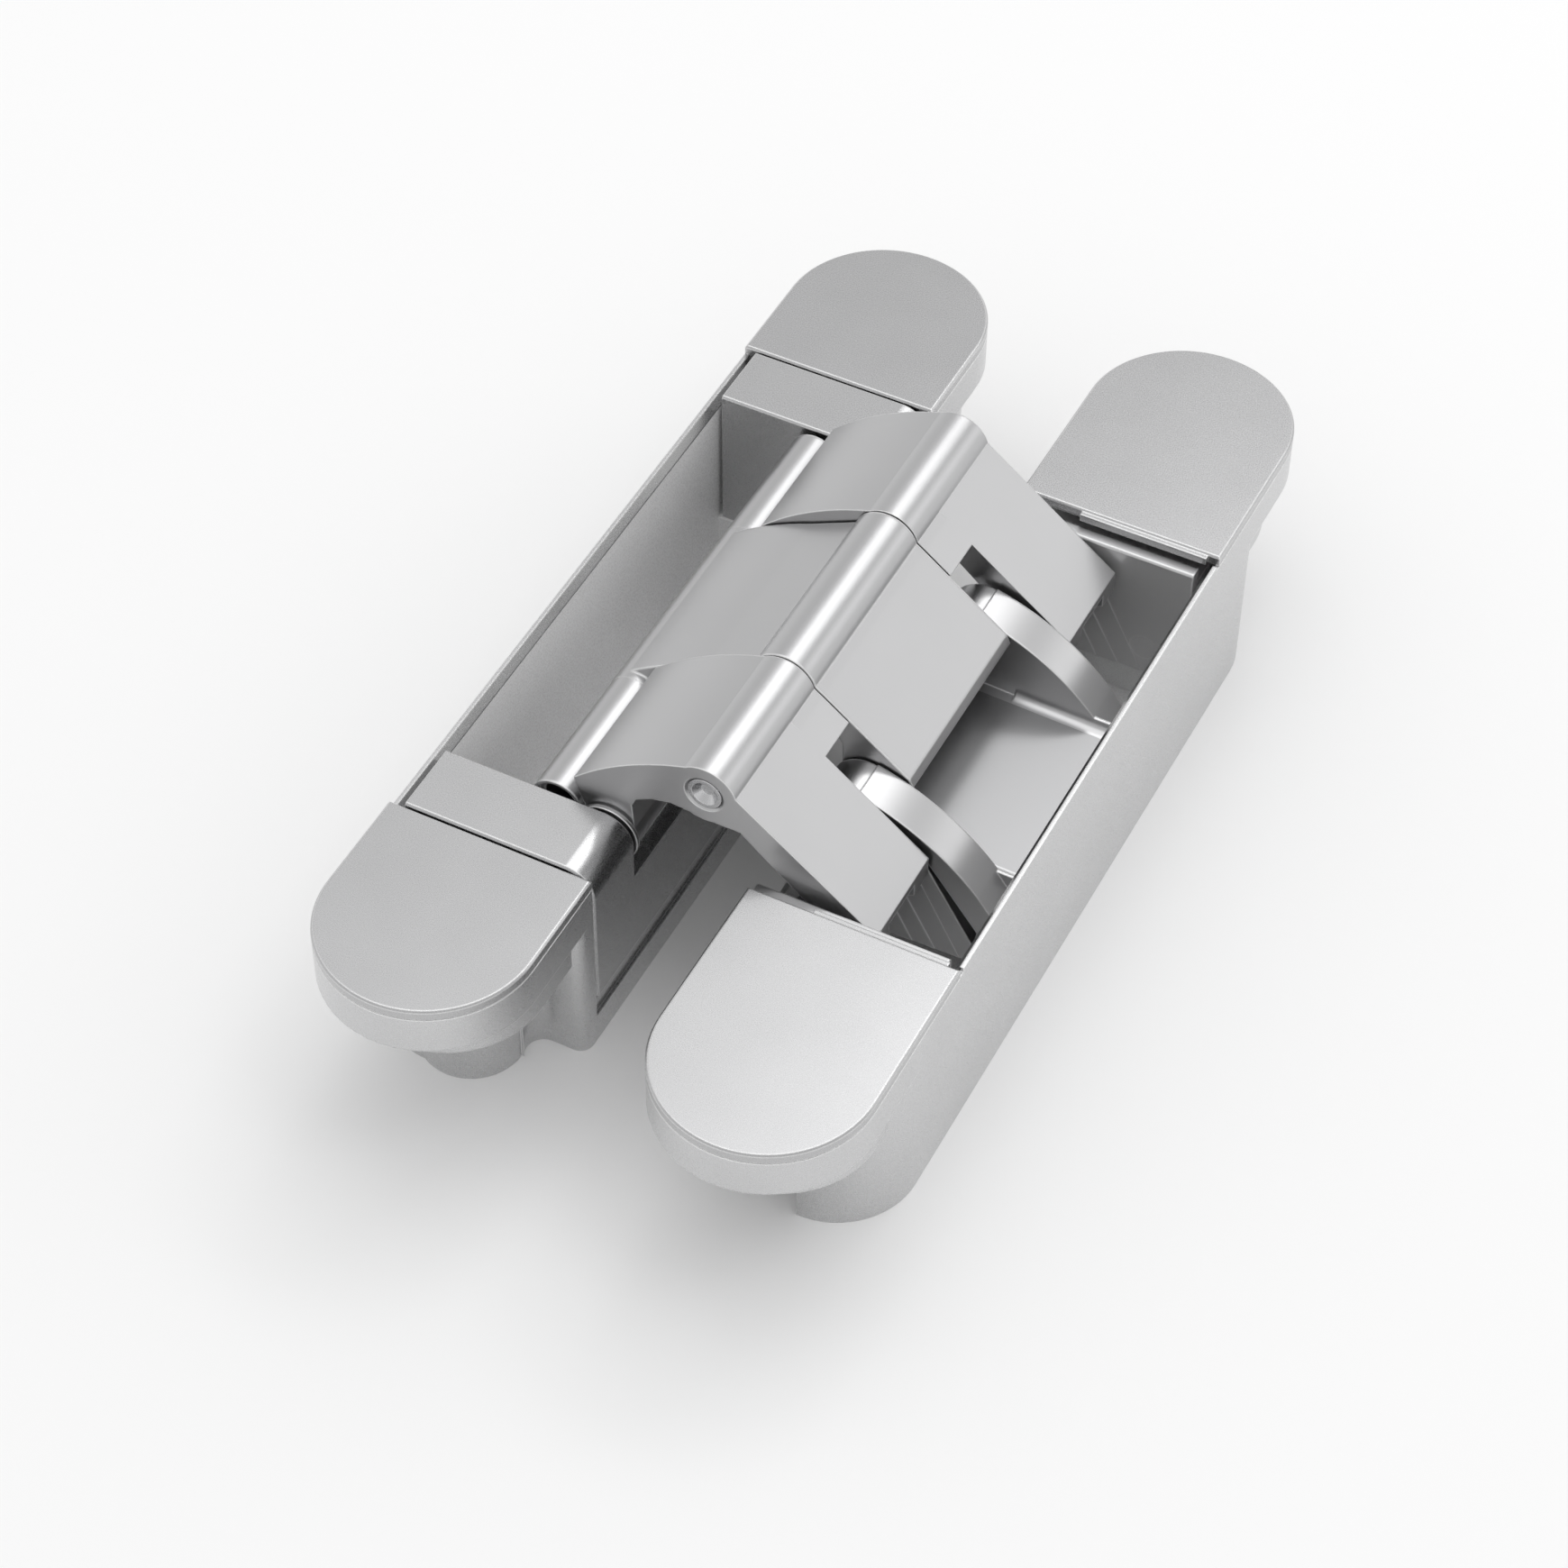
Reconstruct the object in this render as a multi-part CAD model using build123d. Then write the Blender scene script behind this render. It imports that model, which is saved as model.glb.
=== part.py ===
from build123d import *
from math import atan2, cos, degrees, radians, sin
import os

# Concealed door hinge with interlaced arms, shown open at 180 degrees.
# X runs across the two bodies, Y along them, Z up out of the visible faces.
# Every shape is drawn with the face plane at Z = 0 and lifted by BODY_DEPTH on export.

# Bodies
BODY_WIDTH = 30.0
BODY_LENGTH = 160.0
BODY_DEPTH = 32.0
BODY_GAP = 18.0
WALL = 1.5
FLOOR = 2.0
PLATE = 1.5
FLANGE_BOTTOM = 7.7
SKIRT_BOTTOM = 14.5
SKIRT_RADIUS = 13.4
SKIRT_CENTRE = BODY_LENGTH / 2 - 19.0
END_LAND = 30.1
POCKET_HALF = BODY_LENGTH / 2 - END_LAND
LEDGE_TOP = 23.7
SILL_TOP = 24.5
SILL_STEP = 2.6
BOX_HALF = POCKET_HALF + 3.1
FLANK_RADIUS = 11.5
FLANK_CENTRE = POCKET_HALF + 2.0
SHOULDER_RADIUS = 2.0
RIM_CHAMFER = 1.1
RIM_INSET = 0.9
RAISED_STRIP = 0.7

# Fixing screws of the door fitter pass through these holes
BOSS_RADIUS = 7.4
BOSS_Y = BODY_LENGTH / 2 - 23.0
RIGHT_BOSS_DEPTH = 24.0
BOSS_FILLET = 2.5
SCREW_HOLE = 2.75
SCREW_SINK = 5.0
SCREW_SINK_DEPTH = 5.0

# Pins, bushes and fits
RUN = 0.05
SIDE = 0.3
PIVOT_PIN = 2.5
CENTRE_PIN = 2.4
LINK_PIN = 1.4
BUSH_OUTER = 3.1
LINK_EYE = 2.8
ANCHOR_PIN = 1.5
ANCHOR_HOLE = 3.4
ANCHOR_EYE = 4.7
PIN_BURIED = 2.5
DISH_RADIUS = 1.85
DISH_DEPTH = 0.9
COUNTERSINK = 0.45

# Stations along Y, measured from the middle
SLIDE_TRAVEL = 2.0
BLOCK_LENGTH = 10.8
LEFT_BLOCK_OUTER = POCKET_HALF - 0.5
RIGHT_BLOCK_OUTER = POCKET_HALF - SLIDE_TRAVEL - 0.5
BLOCK_INNER = LEFT_BLOCK_OUTER - BLOCK_LENGTH
RIGHT_BLOCK_INNER = BLOCK_INNER - 0.2
NOSE_OUTER = BLOCK_INNER - 0.4
PLATE_OUTER = NOSE_OUTER - 0.9
TUBE_OUTER = PLATE_OUTER
ROCKER_OUTER = PLATE_OUTER - 4.1
ROCKER_WIDTH = 6.8
ROCKER_INNER = ROCKER_OUTER - ROCKER_WIDTH
INNER_HALF = 15.0
LEG_HALF = 7.5
FORK_INNER = LEG_HALF + SIDE
LUG_OUTER = INNER_HALF - 0.4
TUBE_INNER = INNER_HALF + 1.2
PLATE_INNER = INNER_HALF + SIDE
RIB_INNER = INNER_HALF + SIDE
RIB_WIDTH = 6.0
RIB_OUTER = RIB_INNER + RIB_WIDTH
PLATE_NARROW = RIB_OUTER + 0.7
LEFT_WELL_HALF = NOSE_OUTER
RIGHT_WELL_HALF = PLATE_OUTER + SLIDE_TRAVEL + 0.4
BLOCK_GAP = 0.6

# Cover plates
LEFT_CAP_EDGE = POCKET_HALF - 0.15
RIGHT_CAP_EDGE = BODY_LENGTH / 2 - 38.7
CAP_STEP = 0.7
CAP_STEP_INSET = 9.2
CAP_EDGE = 0.3
SEAM = 0.2
PEG_RADIUS = 1.5
PEG_LENGTH = 4.5
PEG_ROOM = 0.4
PEG_Y = BODY_LENGTH / 2 - 11.0
PEG_X = 8.0

# Pivot axes in the cross-section, as (x, z) from the face plane
PIVOT_X = BODY_GAP / 2 + 4.3
PIVOT_Z = -4.6
CENTRE = (0.6, 9.0)
LEFT_EYE = (-21.3, -3.5)
RIGHT_EYE = (21.2, -7.6)
LEFT_ANCHOR = (-18.77, -14.70)
RIGHT_ANCHOR = (16.26, -15.82)
LEFT_LINK_LENGTH = 12.158
LEFT_LINK_ANGLE = 95.49
RIGHT_LINK_LENGTH = 10.301
RIGHT_LINK_ANGLE = 68.74
LEFT_PIVOT = (-PIVOT_X, PIVOT_Z)
RIGHT_PIVOT = (PIVOT_X, PIVOT_Z)

# Arm outlines, as (x, z) from the face plane
EYE_RADIUS = 4.7
NOSE_RADIUS = 4.0
NOSE_BOSS = 4.5
INNER_NOSE = 4.4
TUBE_RADIUS = 3.65
TUBE_BORE = 2.4
TUBE_MOUTH = 3.2
TUBE_MOUTH_DEPTH = 1.3
EYE_END_RADIUS = 3.6
SLOPE_RISE = 9.3
SLOPE_FALL = 0.78
SLOPE_FROM = 6.4
NOTCH_X = 10.2
NOTCH_TIP = (9.1, 5.4)
SKIN = 1.2
ARM_END_X = 25.4
ARM_END_LOW = (25.4, -8.7)
LUG_LOW = (21.2, -11.2)
WING_LOW = ((17.7, -8.6), (16.6, -5.1), (5.9, 4.3))
INNER_END_X = 19.0
OUTER_CROWN = ((-18.5, 2.7), (-10.2, 9.15), (-2.4, 12.75))
OUTER_UNDERSIDE = ((6.2, 4.6), (5.6, 4.4), (4.8, 4.5), (3.2, 4.4), (-4.3, 5.0), (-7.0, 4.3), (-9.4, 3.0),
                   (-10.0, 1.6), (-9.7, -3.0))
OUTER_HEEL = ((-16.9, -2.0), (-18.0, 0.6))
INNER_CROWN = ((-23.6, -0.8), (-17.0, 3.7), (-10.6, 6.9))
INNER_CREST = ((-3.3, 10.5), (-1.9, 12.2))
INNER_TOE = ((19.6, -1.9), (18.9, -3.2), (17.5, -4.9))
INNER_UNDERSIDE = ((9.3, -3.4), (9.2, 1.6), (8.0, 3.4), (4.3, 4.8), (-3.5, 4.6), (-8.5, 2.8), (-13.3, 0.6),
                   (-16.2, -1.2))
FORK_MOUTH = ((-23.9, -2.9), (-30.3, -6.5), (-30.3, -18.0), (-15.5, -18.0), (-15.5, -4.0), (-18.4, -2.3))

# Carriages
SIDE_WALL = 2.5
CUTOUT_TOP = 10.4
BLOCK_NOSE = 4.3
BLOCK_EDGE = 0.3
LUG_RADIUS = 3.2
RIB_NOSE = 5.0
RIB_CROWN = ((14.6, 0.5), (24.0, -3.4), (32.3, -10.5))
RIB_FOOT_Z = -14.0
RIB_ROOT = (8.9, -7.0)
RIB_SLOT = ((22.9, -4.7), (32.5, -17.5), (32.0, -20.4), (24.0, -7.0))
RIB_SLOT_DEPTH = 3.0
WEB_TOP = 11.5
WEB_FALL = 0.8
WEB_FILLET = 1.5
WEB_FILLET_FROM = 11.8
WEB = 2.0
RIB_END = 25.9
RIGHT_BLOCK_TOP = 2.2
RIGHT_BLOCK_LIP = 2.0
RIGHT_BLOCK_STEP = 5.0
RIGHT_BLOCK_INSET = 0.5
ROCKER_RELIEF = 0.75
ROCKER_RELIEF_Z = (-20.6, -11.6)

# Shallow steps on both side faces of each right-hand slot, as (x, z) of their edges at two heights
STEP_EDGES = (((24.7, -13.0), (30.4, -24.0)), ((23.1, -17.0), (26.9, -24.0)), ((21.6, -20.2), (23.6, -24.0)))
STEP_RISES = (0.08, 0.2, 0.32)
STEP_TOP = -7.6

# Carriage screws
ADJUST_THREAD = 2.0
ADJUST_HEAD = 3.2
ADJUST_HEAD_LENGTH = 3.5
ADJUST_U = 21.2
ADJUST_Z = -19.0
ADJUST_SEAT = POCKET_HALF + 2.0
ADJUST_TIP = BLOCK_INNER + 2.4
HEX_SOCKET = 1.56
HEX_DEPTH = 2.0

CX = BODY_GAP / 2 + BODY_WIDTH / 2
EDGE_X = BODY_GAP / 2
OUTER_X = EDGE_X + BODY_WIDTH
R = BODY_WIDTH / 2


def slope_z(x):
    return SLOPE_RISE - SLOPE_FALL * (x - SLOPE_FROM)


def box(x0, x1, y0, y1, z0, z1):
    size = Box(x1 - x0, y1 - y0, z1 - z0, align=(Align.MIN, Align.MIN, Align.MIN))
    return Pos(x0, y0, z0) * size


def rod(centre, radius, y0, y1):
    # Cylinder lying along Y between two stations
    body = Cylinder(radius, y1 - y0, align=(Align.CENTER, Align.CENTER, Align.MIN))
    return Pos(centre[0], y1, centre[1]) * (Rot(90, 0, 0) * body)


def prism(edges, y0, y1):
    # Cross-section in X and Z drawn as edges, run along Y
    face = make_face(edges)
    return Pos(0, y1, 0) * (Rot(90, 0, 0) * extrude(face, y1 - y0))


def poly(points, y0, y1):
    return prism(Polyline(*points, close=True), y0, y1)


def post(x, y, radius, z0, z1):
    body = Cylinder(radius, z1 - z0, align=(Align.CENTER, Align.CENTER, Align.MIN))
    return Pos(x, y, z0) * body


def stadium(cx, centre_y, radius, z0, z1):
    # Round-ended block lying along Y
    bar = box(cx - radius, cx + radius, -centre_y, centre_y, z0, z1)
    ends = post(cx, centre_y, radius, z0, z1) + post(cx, -centre_y, radius, z0, z1)
    return bar + ends


def lower_plan(cx):
    # Trunk with square shoulders on the inner side and a quarter-round flank on the outer side
    split_x = cx - R + FLANK_RADIUS
    plan = Pos((split_x + cx + R) / 2, 0) * Rectangle(cx + R - split_x, 2 * BOX_HALF)
    plan = fillet(plan.vertices().group_by(Axis.X)[-1], SHOULDER_RADIUS)
    keep = Pos(split_x - FLANK_RADIUS / 2, 0) * Rectangle(FLANK_RADIUS, BODY_LENGTH)
    plan += Pos(split_x - FLANK_RADIUS / 2, 0) * Rectangle(FLANK_RADIUS, 2 * FLANK_CENTRE)
    for y in (-FLANK_CENTRE, FLANK_CENTRE):
        plan += keep & (Pos(split_x, y) * Circle(FLANK_RADIUS))
    return plan


def boss(x, y, depth):
    # Boss round a fixing screw, joined to the trunk's shoulder by a concave fillet
    toward = 1 if y < 0 else -1
    foot_y = (BOX_HALF - 1) * -toward
    root = box(x, x + BOSS_RADIUS + BOSS_FILLET, *sorted((foot_y, y)), -depth, -SKIRT_BOTTOM + 1)
    reach = BOSS_RADIUS + BOSS_FILLET
    hollow_y = (BOX_HALF + BOSS_FILLET) * -toward
    offset = (reach ** 2 - (abs(hollow_y) - abs(y)) ** 2) ** 0.5
    root &= box(x, x + offset, -BODY_LENGTH, BODY_LENGTH, -depth, 0)
    root -= post(x + offset, hollow_y, BOSS_FILLET, -depth - 1, 0)
    return root + post(x, y, BOSS_RADIUS, -depth, -SKIRT_BOTTOM + 1)


def both(shape):
    # The shape and its mirror image across the middle of the hinge
    return shape + mirror(shape, Plane.XZ)


def across(shape, side):
    return shape if side < 0 else mirror(shape, Plane.YZ)


def housing(side):
    # Drawn on the left and mirrored for the right
    cx = -CX
    outer = -OUTER_X
    inner = -EDGE_X
    skin_in = outer + WALL
    body = stadium(cx, BODY_LENGTH / 2 - R, R, -FLANGE_BOTTOM, -PLATE)
    body += stadium(cx, SKIRT_CENTRE, SKIRT_RADIUS, -SKIRT_BOTTOM, -FLANGE_BOTTOM)
    body += Pos(0, 0, -BODY_DEPTH) * extrude(lower_plan(cx), BODY_DEPTH - FLANGE_BOTTOM)
    for y in (-BOSS_Y, BOSS_Y):
        body += boss(cx, y, BODY_DEPTH if side < 0 else RIGHT_BOSS_DEPTH)
    # Pocket, ledges and the deep well
    body -= box(skin_in, inner + 1, -POCKET_HALF, POCKET_HALF, -LEDGE_TOP, 1)
    well = LEFT_WELL_HALF if side < 0 else RIGHT_WELL_HALF
    body -= box(skin_in, inner - SIDE_WALL, -well, well, -BODY_DEPTH + FLOOR, 1)
    body -= box(inner - SIDE_WALL - 0.1, inner + 1, -POCKET_HALF, POCKET_HALF, -SILL_TOP, 1)
    body -= box(inner - 0.5, inner + 1, -POCKET_HALF, POCKET_HALF, -SILL_TOP - SILL_STEP, 1)
    rim = Polyline((skin_in - RIM_INSET, -PLATE + 1), (skin_in + 1, -PLATE + 1),
                   (skin_in + 1, -PLATE - 2 * RIM_CHAMFER), (skin_in, -PLATE - RIM_CHAMFER),
                   (skin_in - RIM_INSET, -PLATE), close=True)
    body -= prism(rim, -POCKET_HALF, POCKET_HALF)
    # Fine rebate that shows as the seam under each cover plate
    outline = stadium(cx, BODY_LENGTH / 2 - R, R + 1, -PLATE - SEAM, -PLATE)
    outline -= stadium(cx, BODY_LENGTH / 2 - R, R - SEAM, -PLATE - SEAM - 1, -PLATE + 1)
    seam_from = LEFT_CAP_EDGE if side < 0 else RIGHT_CAP_EDGE
    outline -= box(outer - 2, inner + 2, -seam_from, seam_from, -PLATE - SEAM - 1, 0)
    body -= outline
    # Fixing holes, peg sockets and carriage screw passages
    for y in (-BOSS_Y, BOSS_Y):
        body -= post(cx, y, SCREW_HOLE, -BODY_DEPTH - 1, 1)
        body -= post(cx, y, SCREW_SINK, -PLATE - SCREW_SINK_DEPTH, 1)
    for y in (-PEG_Y, PEG_Y):
        for x in (cx - PEG_X, cx + PEG_X):
            body -= post(x, y, PEG_RADIUS, -PLATE - PEG_LENGTH - PEG_ROOM, 1)
    axis = (-EDGE_X - ADJUST_U, ADJUST_Z)
    passage = rod(axis, ADJUST_THREAD + 0.02, ADJUST_TIP, ADJUST_SEAT + 1)
    passage += rod(axis, ADJUST_HEAD + 0.1, ADJUST_SEAT, BODY_LENGTH / 2 - 5)
    body -= both(passage)
    if side > 0:
        half = RIGHT_CAP_EDGE - 1
        raised = box(outer, skin_in - RIM_INSET, -half, half, -PLATE, -PLATE + RAISED_STRIP)
        body += raised
    return across(body, side)


def cap(side, end):
    # One clip-on cover plate with its two pegs, drawn on the left at the far end
    cx = -CX
    start = LEFT_CAP_EDGE if side < 0 else RIGHT_CAP_EDGE
    centre_y = BODY_LENGTH / 2 - R
    plate = box(cx - R, cx + R, start, centre_y, -PLATE, 0)
    plate += post(cx, centre_y, R, -PLATE, 0) & box(cx - R, cx + R, start, centre_y + R, -PLATE, 0)
    plate = chamfer(plate.faces().sort_by(Axis.Z)[-1].outer_wire().edges(), CAP_EDGE)
    for x in (cx - PEG_X, cx + PEG_X):
        plate += post(x, PEG_Y, PEG_RADIUS, -PLATE - PEG_LENGTH, -PLATE)
    if side > 0:
        x1 = cx + R - CAP_STEP_INSET
        plate += box(-OUTER_X + WALL + 0.3, x1, start - CAP_STEP, start + 1, -PLATE, -CAP_EDGE)
    plate = plate if end > 0 else mirror(plate, Plane.XZ)
    return across(plate, side)


def carriage_core(block_top, block_inner, block_outer):
    # Side wall and end blocks shared by both carriages, drawn on the left
    inner = -EDGE_X
    outer = -OUTER_X + WALL + BLOCK_GAP
    block = box(outer, inner, block_inner, block_outer, -LEDGE_TOP, -block_top)
    wall = box(inner - SIDE_WALL, inner, -block_inner - 1, block_inner + 1, -LEDGE_TOP, -CUTOUT_TOP)
    return block, wall


def left_carriage():
    block, wall = carriage_core(0.0, BLOCK_INNER, LEFT_BLOCK_OUTER)
    corner = block.edges().filter_by(Axis.Y).group_by(Axis.Z)[-1].sort_by(Axis.X)[-1]
    block = fillet(corner, BLOCK_NOSE)
    rim = block.faces().sort_by(Axis.Z)[-1].outer_wire().edges().filter_by(Axis.X)
    block = chamfer(rim, BLOCK_EDGE)
    body = both(block) + wall
    foot = [(LEFT_ANCHOR[0], LEFT_ANCHOR[1] + LUG_RADIUS), (-EDGE_X - 1, -CUTOUT_TOP - 1.2),
            (-EDGE_X - 1, -LEDGE_TOP + 1), (LEFT_ANCHOR[0], LEFT_ANCHOR[1] - LUG_RADIUS)]
    lug_inner = FORK_INNER + 0.1
    body += both(rod(LEFT_ANCHOR, LUG_RADIUS, lug_inner, LUG_OUTER) + poly(foot, lug_inner, LUG_OUTER))
    body -= rod(LEFT_ANCHOR, ANCHOR_PIN, -LUG_OUTER - 1, LUG_OUTER + 1)
    body -= rod(LEFT_PIVOT, BUSH_OUTER, -LEFT_BLOCK_OUTER - 1, LEFT_BLOCK_OUTER + 1)
    axis = (-EDGE_X - ADJUST_U, ADJUST_Z)
    body -= both(rod(axis, ADJUST_THREAD, ADJUST_TIP, LEFT_BLOCK_OUTER + 1))
    return body


def step_layers(y, top):
    # Layers that stand off a wall at Y towards the middle, each ending on one sloping edge
    layers = []
    for (upper, lower), rise in zip(STEP_EDGES, STEP_RISES):
        lean = (lower[0] - upper[0]) / (lower[1] - upper[1])
        x_top = upper[0] + lean * (top - upper[1])
        x_low = upper[0] + lean * (-LEDGE_TOP - upper[1])
        back = EDGE_X + SIDE_WALL / 2
        outline = [(-x_top, top), (-x_low, -LEDGE_TOP), (-back, -LEDGE_TOP), (-back, top)]
        layers.append(poly(outline, y - rise, y + 1))
    return layers


def rib():
    # Fixed bearing rib with its arched top, drawn on the left at the far side
    crown = [(-x, z) for x, z in RIB_CROWN]
    end = -EDGE_X - RIB_END
    top = ThreePointArc(*crown)
    rest = Polyline(crown[2], (end, RIB_FOOT_Z), (end, -LEDGE_TOP), (-EDGE_X - 1, -LEDGE_TOP),
                    (-EDGE_X - 1, -CUTOUT_TOP - 1), (-RIB_ROOT[0], RIB_ROOT[1]), LEFT_PIVOT, crown[0])
    shape = prism([top, rest], RIB_INNER, RIB_OUTER)
    shape += rod(LEFT_PIVOT, RIB_NOSE, RIB_INNER, RIB_OUTER)
    slot = [(-x, z) for x, z in RIB_SLOT]
    shape -= poly(slot, RIB_OUTER - RIB_SLOT_DEPTH, RIB_OUTER + 1)
    outward = [mirror(layer, Plane.XZ) for layer in step_layers(-RIB_OUTER, STEP_TOP)]
    for layer in outward:
        shape += layer
    return shape


def web():
    # Sloping floor between the two ribs, with a concave fillet up each rib
    end = -EDGE_X - RIB_END
    root = -EDGE_X - 1
    fall = WEB_FALL / (root - end)
    low = -WEB_TOP - WEB_FALL
    plate = poly([(root, -WEB_TOP), (end, low), (end, low - WEB), (root, low - WEB)],
                 -RIB_INNER - 0.5, RIB_INNER + 0.5)
    start = -EDGE_X - WEB_FILLET_FROM
    z0 = -WEB_TOP - fall * (root - start)
    cove = poly([(start, z0 - 0.5), (start, z0 + WEB_FILLET), (end, low + WEB_FILLET), (end, low - 0.5)],
                RIB_INNER - WEB_FILLET, RIB_INNER + 0.5)
    tool = Cylinder(WEB_FILLET, BODY_WIDTH, align=(Align.CENTER, Align.CENTER, Align.CENTER))
    middle = ((start + end) / 2, (z0 + low) / 2 + WEB_FILLET)
    lean = -90 + degrees(atan2(z0 - low, start - end))
    cove -= Pos(middle[0], RIB_INNER - WEB_FILLET, middle[1]) * (Rot(0, -lean, 0) * tool)
    return plate + both(cove)


def right_carriage():
    block, wall = carriage_core(RIGHT_BLOCK_TOP, RIGHT_BLOCK_INNER, RIGHT_BLOCK_OUTER)
    rim = block.faces().sort_by(Axis.Z)[-1].outer_wire().edges().filter_by(Axis.X)
    block = chamfer(rim, BLOCK_EDGE)
    for layer in step_layers(RIGHT_BLOCK_INNER, -RIGHT_BLOCK_TOP - 1):
        block += layer
    end = -OUTER_X + WALL + BLOCK_GAP + RIGHT_BLOCK_INSET
    block -= box(-OUTER_X, end, 0, BODY_LENGTH, -LEDGE_TOP, 0)
    block -= box(-OUTER_X, 0, RIGHT_BLOCK_INNER + RIGHT_BLOCK_LIP, BODY_LENGTH, -RIGHT_BLOCK_STEP, 0)
    body = both(block) + wall + both(rib()) + web()
    back = -EDGE_X - SIDE_WALL
    relief = box(back - 1, back + ROCKER_RELIEF, ROCKER_INNER - SIDE, ROCKER_OUTER + SIDE, *ROCKER_RELIEF_Z)
    body -= both(relief)
    body -= rod(LEFT_PIVOT, BUSH_OUTER, -RIB_OUTER - 1, RIB_OUTER + 1)
    anchor = (-RIGHT_ANCHOR[0], RIGHT_ANCHOR[1])
    body -= both(rod(anchor, ANCHOR_PIN, RIB_OUTER - PIN_BURIED - 1.5, RIGHT_BLOCK_INNER + PIN_BURIED + 0.7))
    axis = (-EDGE_X - ADJUST_U, ADJUST_Z)
    body -= both(rod(axis, ADJUST_THREAD + 0.1, ADJUST_TIP - SLIDE_TRAVEL - 0.5, RIGHT_BLOCK_OUTER + 1))
    return across(body, 1)


def outer_arm():
    # Two cheek plates joined by the barrel round the left pivot
    crown = ThreePointArc(*OUTER_CROWN)
    tail = Polyline(OUTER_CROWN[2], (CENTRE[0], CENTRE[1] + EYE_RADIUS - 0.1),
                    (SLOPE_FROM, slope_z(SLOPE_FROM)),
                    (NOTCH_X, slope_z(NOTCH_X)), NOTCH_TIP, *OUTER_UNDERSIDE, LEFT_PIVOT, *OUTER_HEEL,
                    OUTER_CROWN[0])
    cheek = prism([crown, tail], PLATE_INNER, PLATE_OUTER)
    cheek += rod(CENTRE, EYE_RADIUS, PLATE_INNER, PLATE_OUTER)
    root_x = SLOPE_FROM - 1.4
    wing = poly([(root_x, slope_z(root_x)), (ARM_END_X, slope_z(ARM_END_X)), ARM_END_LOW, LUG_LOW, *WING_LOW],
                PLATE_NARROW, PLATE_OUTER)
    cheek += wing + rod(RIGHT_EYE, EYE_END_RADIUS, PLATE_NARROW, PLATE_OUTER)
    slot_from = NOTCH_X + 2.8
    slot_to = ARM_END_X + 4.6
    slot = poly([(slot_from, slope_z(slot_from) - SKIN), (slot_to, slope_z(slot_to) - SKIN), (slot_to, -20.0),
                 (NOTCH_X, -20.0)], ROCKER_INNER - SIDE, ROCKER_OUTER + SIDE)
    cheek -= slot
    body = both(cheek) + rod(LEFT_PIVOT, NOSE_RADIUS, -NOSE_OUTER, NOSE_OUTER)
    body += both(rod(LEFT_PIVOT, NOSE_BOSS, TUBE_OUTER + SIDE, NOSE_OUTER))
    body -= rod(CENTRE, CENTRE_PIN, -BLOCK_INNER, BLOCK_INNER)
    sink = Cone(CENTRE_PIN, CENTRE_PIN + COUNTERSINK, COUNTERSINK,
                align=(Align.CENTER, Align.CENTER, Align.MAX))
    body -= both(Pos(CENTRE[0], PLATE_OUTER, CENTRE[1]) * (Rot(-90, 0, 0) * sink))
    body -= rod(LEFT_PIVOT, PIVOT_PIN, -BLOCK_INNER, BLOCK_INNER)
    body -= both(rod(RIGHT_EYE, LINK_PIN, PLATE_NARROW + 1.2, PLATE_OUTER - 1.2))
    return body


def inner_arm():
    # Single cheek that passes between the plates of the outer arm
    crown = ThreePointArc(*INNER_CROWN)
    tail = Polyline(INNER_CROWN[2], *INNER_CREST, (CENTRE[0], CENTRE[1] + EYE_RADIUS - 0.1),
                    (SLOPE_FROM, slope_z(SLOPE_FROM)), (INNER_END_X, slope_z(INNER_END_X)), *INNER_TOE,
                    RIGHT_PIVOT, *INNER_UNDERSIDE, LEFT_EYE, INNER_CROWN[0])
    body = prism([crown, tail], -INNER_HALF, INNER_HALF)
    body += rod(CENTRE, EYE_RADIUS, -INNER_HALF, INNER_HALF)
    body += rod(RIGHT_PIVOT, INNER_NOSE, -INNER_HALF, INNER_HALF)
    body += rod(LEFT_EYE, TUBE_RADIUS + 0.05, -TUBE_INNER, TUBE_INNER)
    body += both(rod(LEFT_EYE, TUBE_RADIUS, TUBE_INNER - 1, TUBE_OUTER))
    body -= both(rod(LEFT_EYE, TUBE_BORE, TUBE_INNER + 1, TUBE_OUTER + 1))
    body -= both(rod(LEFT_EYE, TUBE_MOUTH, TUBE_OUTER - TUBE_MOUTH_DEPTH, TUBE_OUTER + 1))
    # Fork for the link: its eye turns under a thin skin
    body -= rod(LEFT_EYE, LINK_EYE + 0.35, -FORK_INNER, FORK_INNER)
    body -= poly(FORK_MOUTH, -FORK_INNER, FORK_INNER)
    body -= rod(CENTRE, CENTRE_PIN + RUN, -INNER_HALF - 1, INNER_HALF + 1)
    body -= rod(RIGHT_PIVOT, PIVOT_PIN, -INNER_HALF - 1, INNER_HALF + 1)
    body -= rod(LEFT_EYE, LINK_PIN, -TUBE_INNER - 2, TUBE_INNER + 2)
    return body


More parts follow.
